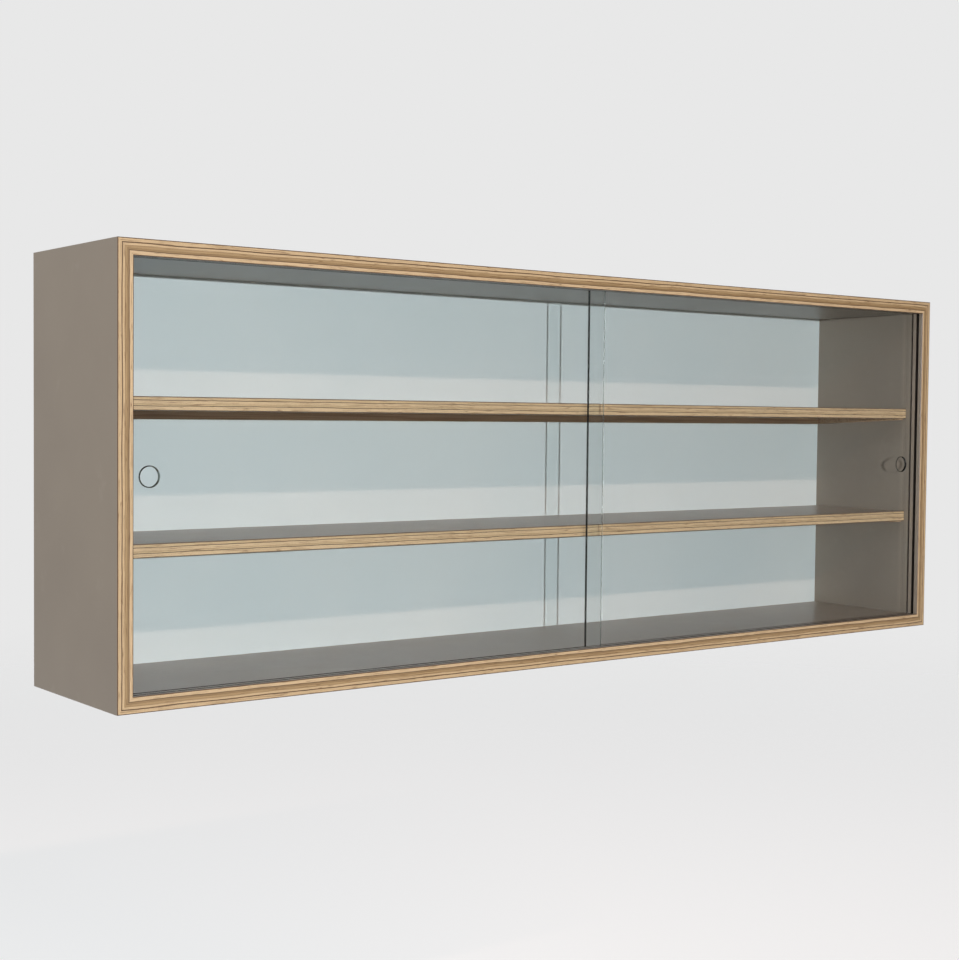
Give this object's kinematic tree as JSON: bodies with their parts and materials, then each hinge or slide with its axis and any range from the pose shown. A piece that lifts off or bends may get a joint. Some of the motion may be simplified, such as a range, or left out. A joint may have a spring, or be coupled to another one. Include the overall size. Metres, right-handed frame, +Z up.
{
  "type": "wall mounted showcase",
  "caption": "Wide shallow wall showcase: mitred laminate-faced plywood case, shelves on battens, white back, overlapping sliding glass doors with finger holes, hung on a bevelled rail.",
  "frame": {"origin": "on the wall plane, in the middle of the line of screw holes of the wall rail", "axes": "+X to the right seen from the front, +Y into the wall, +Z up"},
  "size_m": [1.4, 0.235, 0.52],
  "materials": {
    "grey_beige_laminate": "matt high-pressure laminate",
    "plywood_core": "clear-lacquered plywood, layers visible on the edges",
    "white_back_board": "white satin coating on thin board",
    "clear_glass": "clear float glass, seamed edges",
    "bearer_batten": "matt grey-beige paint",
    "rail_plywood": "sanded plywood",
    "beech": "raw beech",
    "zinc_steel": "zinc-plated",
    "dark_glide_plastic": "matt moulded plastic"
  },
  "bodies": {
    "cabinet": {"back_panel": "white_back_board", "bottom_board_core": "plywood_core", "bottom_front_glide_strip": "dark_glide_plastic", "bottom_inner_laminate": "grey_beige_laminate", "bottom_outer_laminate": "grey_beige_laminate", "bottom_rear_glide_strip": "dark_glide_plastic", "corner_biscuits": "beech", "hanging_rail": "rail_plywood", "hanging_rail_dowels": "beech", "left_board_core": "plywood_core", "left_inner_laminate": "grey_beige_laminate", "left_outer_laminate": "grey_beige_laminate", "lower_shelf_bottom_laminate": "grey_beige_laminate", "lower_shelf_core": "plywood_core", "lower_shelf_left_bearer": "bearer_batten", "lower_shelf_rear_bearer": "bearer_batten", "lower_shelf_right_bearer": "bearer_batten", "lower_shelf_top_laminate": "grey_beige_laminate", "rear_bearer_screws": "zinc_steel", "right_board_core": "plywood_core", "right_inner_laminate": "grey_beige_laminate", "right_outer_laminate": "grey_beige_laminate", "side_bearer_dowels": "beech", "top_board_core": "plywood_core", "top_inner_laminate": "grey_beige_laminate", "top_outer_laminate": "grey_beige_laminate", "upper_shelf_bottom_laminate": "grey_beige_laminate", "upper_shelf_core": "plywood_core", "upper_shelf_left_bearer": "bearer_batten", "upper_shelf_rear_bearer": "bearer_batten", "upper_shelf_right_bearer": "bearer_batten", "upper_shelf_top_laminate": "grey_beige_laminate", "wall_rail": "rail_plywood"},
    "left_door": {"left_glass_door": "clear_glass"},
    "right_door": {"right_glass_door": "clear_glass"}
  },
  "joints": [
    {"name": "left_door_slide", "type": "slide", "parent": "cabinet", "child": "left_door", "axis": [1, 0, 0], "range_m": [0, 0.677]},
    {"name": "right_door_slide", "type": "slide", "parent": "cabinet", "child": "right_door", "axis": [-1, 0, 0], "range_m": [0, 0.677]}
  ]
}
